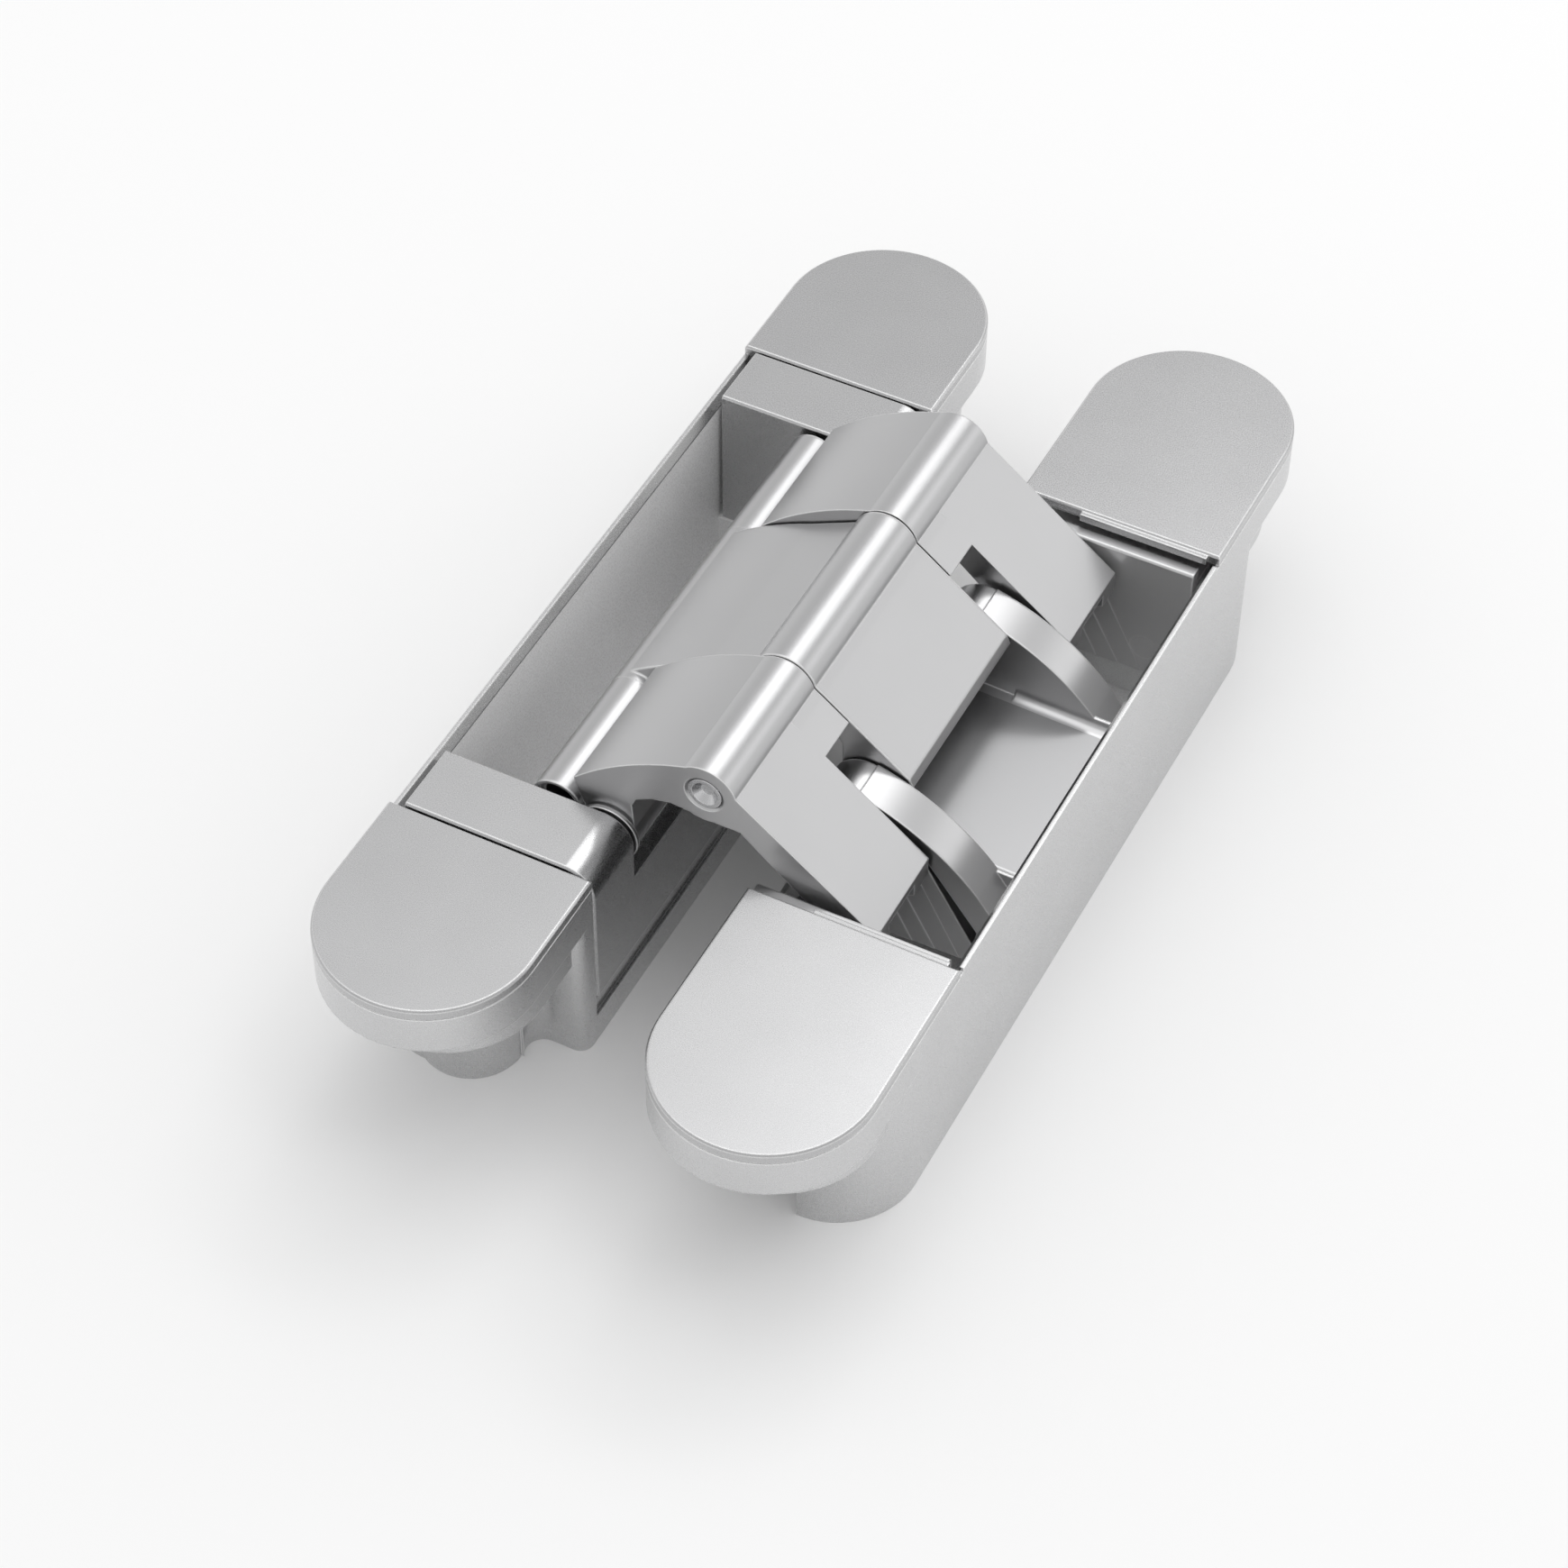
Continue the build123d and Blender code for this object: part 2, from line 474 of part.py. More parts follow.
def link_bar(eye, length, angle, half0, half1):
    # Rocker from a tight upper eye to a wide lower eye
    foot = (eye[0] - length * cos(radians(angle)), eye[1] - length * sin(radians(angle)))
    nx = sin(radians(angle))
    nz = -cos(radians(angle))
    w0 = LINK_EYE * 0.86
    w1 = ANCHOR_EYE * 0.8
    bar = poly([(eye[0] + nx * w0, eye[1] + nz * w0), (foot[0] + nx * w1, foot[1] + nz * w1),
                (foot[0] - nx * w1, foot[1] - nz * w1), (eye[0] - nx * w0, eye[1] - nz * w0)], half0, half1)
    bar += rod(eye, LINK_EYE, half0, half1) + rod(foot, ANCHOR_EYE, half0, half1)
    bar -= rod(eye, LINK_PIN + RUN, half0 - 1, half1 + 1)
    bar -= rod(foot, ANCHOR_HOLE, half0 - 1, half1 + 1)
    return bar


def centre_pin():
    half = PLATE_OUTER - 0.15
    pin = rod(CENTRE, CENTRE_PIN, -half, half)
    for sign in (-1, 1):
        dish = Cone(DISH_RADIUS / 2, DISH_RADIUS, DISH_DEPTH, align=(Align.CENTER, Align.CENTER, Align.MIN))
        turn = Rot(90, 0, 0) if sign < 0 else Rot(-90, 0, 0)
        pin -= Pos(CENTRE[0], sign * (half - DISH_DEPTH), CENTRE[1]) * (turn * dish)
    return pin


def bushes(centre, y0, y1):
    sleeve = rod(centre, BUSH_OUTER, y0, y1) - rod(centre, PIVOT_PIN + RUN, y0 - 1, y1 + 1)
    return both(sleeve)


def carriage_screws(side):
    axis = (side * (EDGE_X + ADJUST_U), ADJUST_Z)
    screw = rod(axis, ADJUST_THREAD, ADJUST_TIP, ADJUST_SEAT + 0.1)
    screw += rod(axis, ADJUST_HEAD, ADJUST_SEAT, ADJUST_SEAT + ADJUST_HEAD_LENGTH)
    socket = extrude(RegularPolygon(HEX_SOCKET, 6), HEX_DEPTH)
    top = ADJUST_SEAT + ADJUST_HEAD_LENGTH
    screw -= Pos(axis[0], top, axis[1]) * (Rot(90, 0, 0) * socket)
    return both(screw)


def build():
    left_end = LEFT_BLOCK_OUTER - 0.6
    anchors = rod(RIGHT_ANCHOR, ANCHOR_PIN, RIB_OUTER - PIN_BURIED - 1, RIGHT_BLOCK_INNER + PIN_BURIED + 0.2)
    upper = rod(RIGHT_EYE, LINK_PIN, PLATE_NARROW + 1.2, PLATE_OUTER - 1.2)
    rocker = link_bar(RIGHT_EYE, RIGHT_LINK_LENGTH, RIGHT_LINK_ANGLE, ROCKER_INNER, ROCKER_OUTER)
    return {
        "left_housing": housing(-1),
        "right_housing": housing(1),
        "left_cap_near": cap(-1, -1),
        "left_cap_far": cap(-1, 1),
        "right_cap_near": cap(1, -1),
        "right_cap_far": cap(1, 1),
        "left_carriage": left_carriage(),
        "right_carriage": right_carriage(),
        "outer_arm": outer_arm(),
        "inner_arm": inner_arm(),
        "left_link": link_bar(LEFT_EYE, LEFT_LINK_LENGTH, LEFT_LINK_ANGLE, -LEG_HALF, LEG_HALF),
        "right_link_near": mirror(rocker, Plane.XZ),
        "right_link_far": rocker,
        "centre_pin": centre_pin(),
        "left_pivot_pin": rod(LEFT_PIVOT, PIVOT_PIN, -left_end, left_end),
        "right_pivot_pin": rod(RIGHT_PIVOT, PIVOT_PIN, -RIB_OUTER + 0.2, RIB_OUTER - 0.2),
        "left_pivot_bushes": bushes(LEFT_PIVOT, BLOCK_INNER, left_end),
        "right_pivot_bushes": bushes(RIGHT_PIVOT, RIB_INNER, RIB_OUTER - 0.2),
        "left_link_pin": rod(LEFT_EYE, LINK_PIN, -TUBE_INNER, TUBE_INNER),
        "right_link_pins": both(upper),
        "left_anchor_pin": rod(LEFT_ANCHOR, ANCHOR_PIN, -LUG_OUTER, LUG_OUTER),
        "right_anchor_pins": both(anchors),
        "left_carriage_screws": carriage_screws(-1),
        "right_carriage_screws": carriage_screws(1),
    }


os.makedirs("parts", exist_ok=True)
for name, shape in build().items():
    export_step(Pos(0, 0, BODY_DEPTH) * shape, f"parts/{name}.step")
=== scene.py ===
"""Studio picture of a concealed door hinge with interlaced arms, in satin chrome.

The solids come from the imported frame, in metres, with the faces of the hinge up.
Each sub-assembly has a class that dresses its own pieces, and each finish is a
small frozen dataclass that builds one node material.
"""
import logging
from dataclasses import dataclass
from dataclasses import field
from enum import Enum

import bpy
from mathutils import Matrix
from mathutils import Vector


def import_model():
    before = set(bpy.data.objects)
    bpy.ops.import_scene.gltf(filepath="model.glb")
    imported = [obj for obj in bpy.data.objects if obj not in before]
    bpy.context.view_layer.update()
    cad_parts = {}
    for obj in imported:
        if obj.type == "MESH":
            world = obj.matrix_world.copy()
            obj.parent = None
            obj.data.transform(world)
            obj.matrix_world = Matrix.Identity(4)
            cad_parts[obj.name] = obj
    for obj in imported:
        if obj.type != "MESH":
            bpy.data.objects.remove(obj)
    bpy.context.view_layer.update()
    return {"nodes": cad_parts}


LOG = logging.getLogger("hinge")

Colour = tuple[float, float, float]
Point = tuple[float, float, float]
Stretch = tuple[float, float, float]
Span = tuple[float, float]
Node = bpy.types.Node
Socket = bpy.types.NodeSocket

UNSTRETCHED: Stretch = (1.0, 1.0, 1.0)
UNIT: Span = (0.0, 1.0)
# Nearly all values of the noise are within this span.
NOISE_SPAN: Span = (0.3, 0.7)
# The colour sockets of a mix node, which have the same names as its plain ones.
MIX_FIRST = 6
MIX_SECOND = 7
MIX_RESULT = 2


class Side(Enum):
    """The two bodies of the open hinge, as the picture shows them."""

    LEFT = "left"
    RIGHT = "right"


class End(Enum):
    """The two ends of a body, seen from the camera."""

    NEAR = "near"
    FAR = "far"


class Grain(Enum):
    """How a surface was finished, with the stretch of its grain along X, Y and Z."""

    BLASTED = (1.0, 1.0, 1.0)
    TURNED = (1.0, 0.15, 1.0)
    MOULDED = (0.6, 0.6, 0.6)


class NodeWriter:
    """Adds and joins nodes in one shader tree.

    Args:
        tree: the tree that gets the nodes.
    """

    def __init__(self, tree: bpy.types.NodeTree) -> None:
        """Keep the tree."""
        self.tree = tree

    def add(self, kind: str, **values: object) -> Node:
        """Add a node and set its plain properties.

        Args:
            kind: the node's type name in Blender.
            values: properties to set on the node.

        Returns:
            The new node.
        """
        node = self.tree.nodes.new(kind)
        for key, value in values.items():
            setattr(node, key, value)
        return node

    def link(self, source: Socket, target: Socket) -> None:
        """Join two sockets."""
        self.tree.links.new(source, target)

    def math(self, operation: str, value: Socket, other: float | Socket) -> Socket:
        """Combine a socket with a number or another socket.

        Args:
            operation: Blender's name of the operation.
            value: the first value's socket.
            other: the second value, a number or a socket.

        Returns:
            The result's socket.
        """
        node = self.add("ShaderNodeMath", operation=operation)
        self.link(value, node.inputs[0])
        if isinstance(other, float):
            node.inputs[1].default_value = other
        else:
            self.link(other, node.inputs[1])
        return node.outputs["Value"]

    def size_of(self, value: Socket) -> Socket:
        """Drop a value's sign."""
        return self.math("ABSOLUTE", value, 0.0)

    def remap(self, value: Socket, old: Span, new: Span) -> Socket:
        """Map a value from one range onto another and hold it there.

        Args:
            value: the socket to map.
            old: the values that give the new range's ends.
            new: the new range.

        Returns:
            The mapped value's socket.
        """
        node = self.add("ShaderNodeMapRange")
        node.inputs["From Min"].default_value = old[0]
        node.inputs["From Max"].default_value = old[1]
        node.inputs["To Min"].default_value = new[0]
        node.inputs["To Max"].default_value = new[1]
        self.link(value, node.inputs["Value"])
        return node.outputs["Result"]

    def blend(self, factor: Socket, first: Socket, second: float | Socket) -> Socket:
        """Blend two plain values by a factor.

        Args:
            factor: the factor's socket.
            first: the value's socket at factor 0.
            second: the value at factor 1, a number or a socket.

        Returns:
            The blended value's socket.
        """
        node = self.add("ShaderNodeMix", data_type="FLOAT")
        self.link(factor, node.inputs["Factor"])
        self.link(first, node.inputs["A"])
        if isinstance(second, float):
            node.inputs["B"].default_value = second
        else:
            self.link(second, node.inputs["B"])
        return node.outputs["Result"]


@dataclass(frozen=True)
class Pocket:
    """Where the two mortise pockets are, in metres from the hinge's middle."""

    centre: float = 0.024
    half_width: float = 0.0143
    half_length: float = 0.0505
    from_length: float = 0.0
    top: float = 0.0293


BELOW_RIM = Pocket(half_width=0.0145)
UP_TO_RIM = Pocket(half_width=0.0145, top=0.0312)


class MaterialBuilder(NodeWriter):
    """Makes one node material step by step."""

    def __init__(self, name: str) -> None:
        """Start a plain material with a Principled shader.

        Args:
            name: the material's name.
        """
        self.material = bpy.data.materials.new(name)
        self.material.use_nodes = True
        super().__init__(self.material.node_tree)
        self.shader = self.tree.nodes["Principled BSDF"]

    def feed(self, name: str, source: Socket) -> None:
        """Link a socket to the shader's input of that name."""
        self.link(source, self.shader.inputs[name])

    def fix(self, name: str, value: object) -> None:
        """Set a constant on the shader's input of that name."""
        self.shader.inputs[name].default_value = value

    def noise(self, size: float, stretch: Stretch, detail: float) -> Socket:
        """Add noise whose features have a real size.

        Args:
            size: width of one feature, in metres.
            stretch: factors on X, Y and Z, below 1 for longer features.
            detail: how many finer layers the noise has.

        Returns:
            The noise's value socket, from 0 to 1.
        """
        place = self.add("ShaderNodeTexCoord")
        scale = self.add("ShaderNodeMapping")
        scale.inputs["Scale"].default_value = [factor / size for factor in stretch]
        grain = self.add("ShaderNodeTexNoise")
        grain.inputs["Scale"].default_value = 1.0
        grain.inputs["Detail"].default_value = detail
        self.link(place.outputs["Object"], scale.inputs["Vector"])
        self.link(scale.outputs["Vector"], grain.inputs["Vector"])
        return grain.outputs["Fac"]

    def mix(self, factor: Socket, first: Colour | Socket, second: Colour | Socket) -> Socket:
        """Mix two colours by a factor.

        Args:
            factor: the factor's socket.
            first: colour or socket used at factor 0.
            second: colour or socket used at factor 1.

        Returns:
            The mixed colour's socket.
        """
        node = self.add("ShaderNodeMix", data_type="RGBA")
        self.link(factor, node.inputs["Factor"])
        for place, value in ((MIX_FIRST, first), (MIX_SECOND, second)):
            if isinstance(value, tuple):
                node.inputs[place].default_value = (*value, 1.0)
            else:
                self.link(value, node.inputs[place])
        return node.outputs[MIX_RESULT]

    def rounded_normal(self, radius: float, samples: int) -> Socket:
        """Round the edges in the shading.

        Args:
            radius: the edge's radius, in metres.
            samples: how many rays look for the edge.

        Returns:
            The rounded normal's socket.
        """
        node = self.add("ShaderNodeBevel", samples=samples)
        node.inputs["Radius"].default_value = radius
        return node.outputs["Normal"]

    def edge_mask(self, rounded: Socket, gain: float) -> Socket:
        """Find the edges, where the rounded normal leaves the flat one; they get wear and a
        painted highlight.

        Args:
            rounded: the rounded normal's socket.
            gain: how fast the mask rises at an edge.

        Returns:
            A value from 0 on flats to 1 on edges.
        """
        flat = self.add("ShaderNodeNewGeometry")
        dot = self.add("ShaderNodeVectorMath", operation="DOT_PRODUCT")
        self.link(rounded, dot.inputs[0])
        self.link(flat.outputs["True Normal"], dot.inputs[1])
        return self.remap(dot.outputs["Value"], (1.0, 1.0 - 1.0 / gain), UNIT)

    def raise_grain(self, grain: Socket, strength: float, height: float) -> Node:
        """Let the grain stand up from the surface.

        Args:
            grain: the grain's socket, from 0 to 1.
            strength: how much of the bump shows.
            height: the grain's height, in metres.

        Returns:
            The bump node, already joined to the shader.
        """
        bump = self.add("ShaderNodeBump")
        bump.inputs["Strength"].default_value = strength
        bump.inputs["Distance"].default_value = height
        self.link(grain, bump.inputs["Height"])
        self.feed("Normal", bump.outputs["Normal"])
        return bump

    def object_place(self) -> Node:
        """Split the point on the solid into its X, Y and Z, in metres.

        Returns:
            The node whose outputs X, Y and Z hold them.
        """
        place = self.add("ShaderNodeTexCoord")
        split = self.add("ShaderNodeSeparateXYZ")
        self.link(place.outputs["Object"], split.inputs["Vector"])
        return split

    def pocket_mask(self, pocket: Pocket) -> Socket:
        """Find the inside of the two mortise pockets.

        Args:
            pocket: the pocket's place and size.

        Returns:
            A value that is 1 inside the pockets and 0 elsewhere.
        """
        point = self.object_place()
        across = self.math("SUBTRACT", self.size_of(point.outputs["X"]), pocket.centre)
        length = self.size_of(point.outputs["Y"])
        within = self.math("LESS_THAN", self.size_of(across), pocket.half_width)
        along = self.math("LESS_THAN", length, pocket.half_length)
        beyond = self.math("GREATER_THAN", length, pocket.from_length)
        below = self.math("LESS_THAN", point.outputs["Z"], pocket.top)
        plan = self.math("MULTIPLY", within, along)
        return self.math("MULTIPLY", plan, self.math("MULTIPLY", beyond, below))

    def middle_mask(self, half_length: float) -> Socket:
        """Give 1 up to that distance from the hinge's middle along Y and 0 beyond it."""
        length = self.size_of(self.object_place().outputs["Y"])
        return self.math("LESS_THAN", length, half_length)


@dataclass(frozen=True)
class MetalFinish:
    """A satin metal surface: fine grain, soft clouds of tone and brighter edges, partly wear and
    partly a painted highlight.

    A casting can have painted light in its pockets, which turn matte and near-white there, partly
    a bare cast finish; painted shade along the pockets' rims; and painted shade on its web.
    """

    name: str
    tint: Colour
    shade: Colour
    roughness: float = 0.28
    roughness_spread: float = 0.05
    grain: Grain = Grain.BLASTED
    grain_size: float = 0.00016
    grain_detail: float = 2.0
    grain_height: float = 0.0000016
    grain_strength: float = 0.6
    cloud_size: float = 0.011
    cloud_detail: float = 3.0
    # Colour on the edges: a painted highlight along them, as well as wear.
    edge_highlight_and_wear_tint: Colour = (0.92, 0.92, 0.92)
    edge_radius: float = 0.0003
    edge_samples: int = 6
    edge_gain: float = 8.0
    edge_blur: float = 0.10
    shaded_web_half_length: float = 0.0
    # Painted shade on the web between the ribs.
    web_painted_shade_tint: Colour = (0.36, 0.36, 0.365)
    # Painted shade along the pockets' rims.
    rim_painted_shade_tint: Colour | None = None
    pocket: Pocket = Pocket()
    pocket_painted_light_share: float = 0.0
    # Near-white colour in the pockets: painted light there, partly a bare cast finish.
    pocket_painted_light_tint: Colour = (0.96, 0.96, 0.96)

    def build(self) -> bpy.types.Material:
        """Build the finish's material.

        Returns:
            The new material.
        """
        make = MaterialBuilder(self.name)
        grain = make.noise(self.grain_size, self.grain.value, self.grain_detail)
        rounded = make.rounded_normal(self.edge_radius, self.edge_samples)
        edges = make.edge_mask(rounded, self.edge_gain)
        bump = make.raise_grain(grain, self.grain_strength, self.grain_height)
        make.link(rounded, bump.inputs["Normal"])
        make.feed("Roughness", self.worn_roughness(make, grain, edges))
        tone = self.web_and_rim_painted_shade(make, self.clouded_tone_and_edge_highlight(make, edges))
        make.fix("Metallic", 1.0)
        if self.pocket_painted_light_share > 0.0:
            # Painted light in the pockets: near-white and less metallic there, partly a bare cast
            # finish.
            painted_pocket_light = make.math("MULTIPLY", make.pocket_mask(self.pocket), self.pocket_painted_light_share)
            tone = make.mix(painted_pocket_light, tone, self.pocket_painted_light_tint)
            make.feed("Metallic", make.math("ADD", make.math("MULTIPLY", painted_pocket_light, -1.0), 1.0))
        make.feed("Base Color", tone)
        return make.material

    def worn_roughness(self, make: MaterialBuilder, grain: Socket, edges: Socket) -> Socket:
        """Vary the roughness with the grain and raise it on worn edges.

        Args:
            make: the material being built.
            grain: the grain's socket.
            edges: the edge mask's socket.

        Returns:
            The roughness socket.
        """
        low = self.roughness - self.roughness_spread
        high = self.roughness + self.roughness_spread
        satin = make.remap(grain, NOISE_SPAN, (low, high))
        return make.math("ADD", make.math("MULTIPLY", edges, self.edge_blur), satin)

    def clouded_tone_and_edge_highlight(self, make: MaterialBuilder, edges: Socket) -> Socket:
        """Cloud the metal's tone softly and brighten its edges, partly as wear and partly as a
        painted highlight.

        Args:
            make: the material being built.
            edges: the edge mask's socket.

        Returns:
            The tone's socket.
        """
        clouds = make.noise(self.cloud_size, UNSTRETCHED, self.cloud_detail)
        tone = make.mix(make.remap(clouds, NOISE_SPAN, UNIT), self.tint, self.shade)
        # Painted highlight along the edges, partly wear as well.
        return make.mix(edges, tone, self.edge_highlight_and_wear_tint)

    def web_and_rim_painted_shade(self, make: MaterialBuilder, tone: Socket) -> Socket:
        """Paint shade onto the web and along the pockets' rims, where the finish has them.

        Args:
            make: the material being built.
            tone: the tone's socket so far.

        Returns:
            The tone's socket with the painted shade on the web and the rims.
        """
        if self.shaded_web_half_length > 0.0:
            # Painted shade on the web between the ribs.
            tone = make.mix(make.middle_mask(self.shaded_web_half_length), tone, self.web_painted_shade_tint)
        if self.rim_painted_shade_tint is not None:
            # Painted shade on the strip along the pockets' rims.
            below = make.pocket_mask(BELOW_RIM)
            rim_shade_strip = make.math("SUBTRACT", make.pocket_mask(UP_TO_RIM), below)
            tone = make.mix(rim_shade_strip, tone, self.rim_painted_shade_tint)
        return tone


@dataclass(frozen=True)
class PolymerFinish:
    """The dark moulded polymer of the sleeve bearings."""

    name: str
    tint: Colour
    shade: Colour
    roughness: Span = (0.45, 0.62)
    grain_size: float = 0.0004
    grain_detail: float = 3.0
    grain_height: float = 0.00001
    grain_strength: float = 0.4

    def build(self) -> bpy.types.Material:
        """Build the finish's material.

        Returns:
            The new material.
        """
        make = MaterialBuilder(self.name)
        grain = make.noise(self.grain_size, Grain.MOULDED.value, self.grain_detail)
        make.feed("Base Color", make.mix(grain, self.tint, self.shade))
        make.feed("Roughness", make.remap(grain, NOISE_SPAN, self.roughness))
        make.raise_grain(grain, self.grain_strength, self.grain_height)
        return make.material


@dataclass(frozen=True)
class FloorFinish:
    """Matt white floor that keeps the hinge's soft shadow and glows faintly where it is seen."""

    name: str = "white_ground"
    tint: Colour = (0.86, 0.86, 0.86)
    paler: Colour = (0.88, 0.88, 0.88)
    mottle_size: float = 0.4
    mottle_detail: float = 2.0
    roughness: float = 0.9
    glow: float = 0.02

    def build(self) -> bpy.types.Material:
        """Build the floor's material.

        Returns:
            The new material.
        """
        make = MaterialBuilder(self.name)
        mottle = make.noise(self.mottle_size, UNSTRETCHED, self.mottle_detail)
        make.feed("Base Color", make.mix(mottle, self.tint, self.paler))
        make.fix("Roughness", self.roughness)
        make.fix("Specular IOR Level", 0.0)
        make.fix("Emission Color", (1.0, 1.0, 1.0, 1.0))
        path = make.add("ShaderNodeLightPath")
        seen = make.math("MAXIMUM", path.outputs["Is Camera Ray"], path.outputs["Is Glossy Ray"])
        make.feed("Emission Strength", make.math("MULTIPLY", seen, self.glow))
        return make.material


# The housing's chrome is lighter than the caps' and carriages': painted light on its outer walls.
SATIN_BODY = MetalFinish(
    "satin_body_chrome", (0.62, 0.62, 0.625), (0.60, 0.60, 0.605),
    pocket_painted_light_share=0.95, rim_painted_shade_tint=(0.38, 0.38, 0.38))
SATIN_CARRIAGE = MetalFinish(
    "satin_carriage_chrome", (0.53, 0.53, 0.535), (0.51, 0.51, 0.515))
BEARING_CARRIAGE = MetalFinish(
    "satin_bearing_carriage_chrome", (0.56, 0.56, 0.565), (0.55, 0.55, 0.555),
    roughness=0.32, roughness_spread=0.01, grain_height=0.0000002, edge_radius=0.0004,
    pocket=Pocket(from_length=0.0225), pocket_painted_light_share=0.3, shaded_web_half_length=0.0136)
SATIN_CAP = MetalFinish(
    "satin_cap_chrome", (0.52, 0.52, 0.525), (0.50, 0.50, 0.505))
SATIN_ARM = MetalFinish(
    "satin_arm_chrome", (0.525, 0.525, 0.53), (0.515, 0.515, 0.52),
    roughness=0.34, roughness_spread=0.01, grain_height=0.0000002)
LEADING_ARM = MetalFinish(
    "satin_leading_arm_chrome", (0.515, 0.515, 0.52), (0.505, 0.505, 0.51),
    roughness=0.34, roughness_spread=0.01, grain_height=0.0000002, edge_radius=0.0006)
TURNED_STEEL = MetalFinish(
    "turned_steel", (0.60, 0.60, 0.61), (0.55, 0.55, 0.56),
    roughness=0.26, grain=Grain.TURNED, edge_radius=0.00015)
BEARING_POLYMER = PolymerFinish(
    "bearing_polymer", (0.03, 0.03, 0.032), (0.055, 0.055, 0.058))


class Dresser:
    """Gives finishes to the carried-over solids and reports each one.

    Args:
        nodes: the frame's node objects by name.
    """

    def __init__(self, nodes: dict[str, bpy.types.Object]) -> None:
        """Keep the frame's nodes and an empty shelf of built materials."""
        self.nodes = nodes
        self.built: dict[str, bpy.types.Material] = {}

    def material(self, finish: MetalFinish | PolymerFinish) -> bpy.types.Material:
        """Build a finish once and return its material afterwards.

        Args:
            finish: the surface to look up.

        Returns:
            The finish's material.
        """
        if finish.name not in self.built:
            self.built[finish.name] = finish.build()
        return self.built[finish.name]

    def dress(self, name: str, finish: MetalFinish | PolymerFinish) -> None:
        """Give one solid its finish.

        Args:
            name: the node's name.
            finish: the surface it gets.
        """
        target = self.nodes[name]
        material = self.material(finish)
        if not target.material_slots:
            target.data.materials.append(material)
        for place in target.material_slots:
            place.material = material
        LOG.info("%s: %s, %d faces", name, finish.name, len(target.data.polygons))


@dataclass
class Body:
    """One mortise body: its housing, its two cover plates and the carriage inside it."""

    side: Side
    ends: tuple[End, ...] = (End.NEAR, End.FAR)

    def dress(self, dresser: Dresser) -> None:
        """Give the body's pieces their finishes.

        Args:
            dresser: gives each solid its finish.
        """
        side = self.side.value
        carriage = BEARING_CARRIAGE if self.side is Side.RIGHT else SATIN_CARRIAGE
        dresser.dress(f"{side}_housing", SATIN_BODY)
        dresser.dress(f"{side}_carriage", carriage)
        dresser.dress(f"{side}_carriage_screws", TURNED_STEEL)
        for end in self.ends:
            dresser.dress(f"{side}_cap_{end.value}", SATIN_CAP)


@dataclass
class ArmLinkage:
    """The two crossed arms with their rockers, pins and sleeve bearings."""

    outer: str = "outer_arm"
    inner: str = "inner_arm"
    rockers: tuple[str, ...] = ("left_link", "right_link_near", "right_link_far")
    pins: tuple[str, ...] = ("centre_pin", "left_pivot_pin", "right_pivot_pin", "left_link_pin",
                             "right_link_pins", "left_anchor_pin", "right_anchor_pins")
    bearings: tuple[str, ...] = ("left_pivot_bushes", "right_pivot_bushes")

    def dress(self, dresser: Dresser) -> None:
        """Give the linkage's pieces their finishes.

        Args:
            dresser: gives each solid its finish.
        """
        dresser.dress(self.outer, SATIN_ARM)
        dresser.dress(self.inner, LEADING_ARM)
        for name in self.rockers + self.pins:
            dresser.dress(name, TURNED_STEEL)
        for name in self.bearings:
            dresser.dress(name, BEARING_POLYMER)


@dataclass
class SoftBox:
    """One large soft lamp that faces the hinge."""

    name: str
    place: Point
    width: float
    height: float
    power: float
    mirrored: bool = True
    target: Point = (0.0, 0.0, 0.015)

    def build(self) -> None:
        """Add the lamp to the scene."""
        lamp = bpy.data.lights.new(self.name, "AREA")
        lamp.shape = "RECTANGLE"
        lamp.size = self.width
        lamp.size_y = self.height
        lamp.energy = self.power
        holder = bpy.data.objects.new(self.name, lamp)
        holder.location = self.place
        holder.visible_glossy = self.mirrored
        aim = Vector(self.target) - Vector(self.place)
        holder.rotation_euler = aim.to_track_quat("-Z", "Y").to_euler()
        bpy.context.scene.collection.objects.link(holder)
        LOG.info("%s: %.2f W at %s", self.name, self.power, self.place)


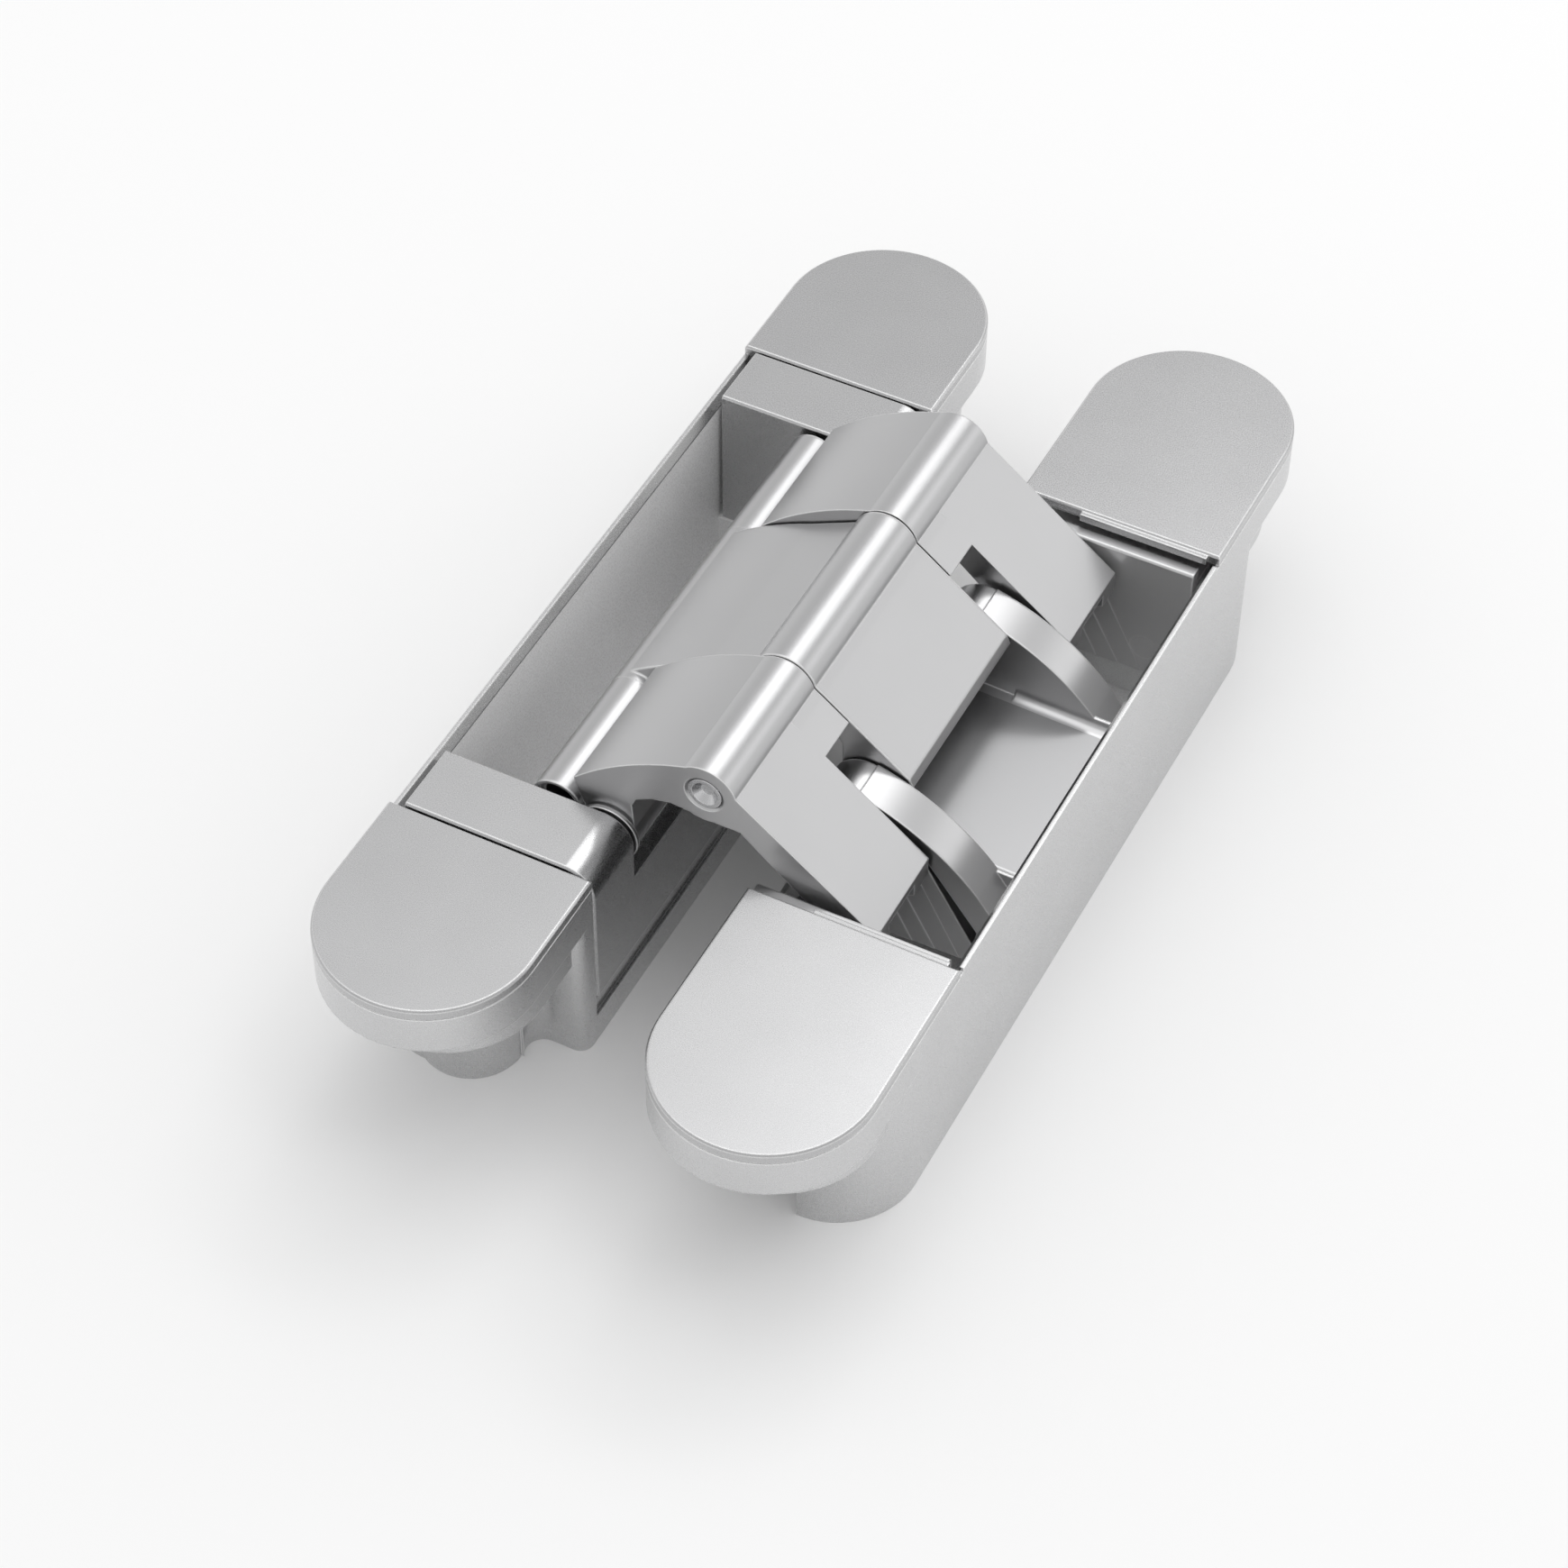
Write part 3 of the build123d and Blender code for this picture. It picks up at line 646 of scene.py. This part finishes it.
@dataclass
class Studio:
    """The pale floor, the surrounding light and the soft lamps.

    The sky's stops are pairs of the sine of the elevation and the brightness
    there, as a share of the brightest.
    """

    floor_half: float = 6.0
    side_fill: float = 0.65
    top_fill: float = 1.40
    brightest: float = 3.0
    sky: tuple[Span, ...] = (
        (0.0, 0.33), (1.0, 0.48), (0.25, 0.29), (0.5, 0.25),
        (0.66, 0.21), (0.76, 0.24), (0.83, 0.50), (0.92, 0.52))
    lamps: list[SoftBox] = field(default_factory=lambda: [
        SoftBox("floor_softbox", (-0.20, 0.30, 1.30), 0.8, 0.8, 1.2, mirrored=False),
        SoftBox("pocket_softbox", (0.55, 0.0, 1.25), 0.4, 0.4, 0.8, mirrored=False),
        SoftBox("ridge_softbox", (0.10, 0.78, 1.04), 0.6, 0.25, 1.3),
        SoftBox("cap_softbox", (-0.17, 0.66, 1.16), 0.3, 0.3, 0.38),
        SoftBox("slope_softbox", (0.84, 0.76, 0.56), 0.6, 0.4, 0.55),
    ])

    def build(self) -> None:
        """Add the floor, the world and the lamps."""
        self.add_floor()
        self.add_world()
        for lamp in self.lamps:
            lamp.build()

    def add_floor(self) -> None:
        """Lay one wide white sheet under the hinge."""
        half = self.floor_half
        sheet = bpy.data.meshes.new("ground")
        corners = [(-half, -half, 0.0), (half, -half, 0.0), (half, half, 0.0), (-half, half, 0.0)]
        sheet.from_pydata(corners, [], [(0, 1, 2, 3)])
        sheet.materials.append(FloorFinish().build())
        ground = bpy.data.objects.new("ground", sheet)
        bpy.context.scene.collection.objects.link(ground)

    def add_world(self) -> None:
        """Mirror the sky in the metal, light the rest evenly and show the camera white."""
        world = bpy.data.worlds.new("studio")
        bpy.context.scene.world = world
        world.use_nodes = True
        write = NodeWriter(world.node_tree)
        level = self.sky_level(write)
        mirrored = write.math("MULTIPLY", level, self.brightest)
        diffuse = write.remap(level, UNIT, (self.side_fill, self.top_fill))
        path = write.add("ShaderNodeLightPath")
        light = write.blend(path.outputs["Is Glossy Ray"], diffuse, mirrored)
        shown = write.blend(path.outputs["Is Camera Ray"], light, 1.0)
        back = world.node_tree.nodes["Background"]
        back.inputs["Color"].default_value = (1.0, 1.0, 1.0, 1.0)
        write.link(shown, back.inputs["Strength"])

    def sky_level(self, write: NodeWriter) -> Socket:
        """Grade the sky by its height.

        Args:
            write: the world's node writer.

        Returns:
            The socket of the brightness, as a share of the brightest.
        """
        place = write.add("ShaderNodeTexCoord")
        split = write.add("ShaderNodeSeparateXYZ")
        ramp = write.add("ShaderNodeValToRGB")
        ramp.color_ramp.interpolation = "EASE"
        stops = ramp.color_ramp.elements
        ready = len(stops)
        for index, (height, value) in enumerate(self.sky):
            stop = stops[index] if index < ready else stops.new(height)
            stop.position = height
            stop.color = (value, value, value, 1.0)
        write.link(place.outputs["Generated"], split.inputs["Vector"])
        write.link(split.outputs["Z"], ramp.inputs["Fac"])
        return ramp.outputs["Color"]


@dataclass
class PhotoCamera:
    """The photograph's camera, as measured from the hinge's known lines."""

    lens: float = 93.31
    sensor: float = 36.0
    nearest: float = 0.01
    place: Point = (0.1651415, -0.3413182, 0.4233802)
    right: Point = (0.889298, 0.457268, 0.007424)
    up: Point = (-0.342828, 0.655814, 0.672590)
    back: Point = (0.302684, -0.600678, 0.739979)

    def build(self) -> None:
        """Add the camera and make it the scene's own."""
        data = bpy.data.cameras.new("photo_camera")
        data.lens = self.lens
        data.sensor_width = self.sensor
        data.sensor_fit = "HORIZONTAL"
        data.clip_start = self.nearest
        camera = bpy.data.objects.new("photo_camera", data)
        turn = Matrix((self.right, self.up, self.back)).transposed().to_4x4()
        camera.matrix_world = Matrix.Translation(self.place) @ turn
        bpy.context.scene.collection.objects.link(camera)
        bpy.context.scene.camera = camera


def main() -> None:
    """Build the picture: pieces first, then studio and camera."""
    logging.basicConfig(level=logging.INFO, format="%(message)s")
    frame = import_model()
    dresser = Dresser(frame["nodes"])
    for side in Side:
        Body(side).dress(dresser)
    ArmLinkage().dress(dresser)
    Studio().build()
    PhotoCamera().build()
    bpy.context.scene.view_settings.view_transform = "Standard"


if __name__ == "__main__":
    main()
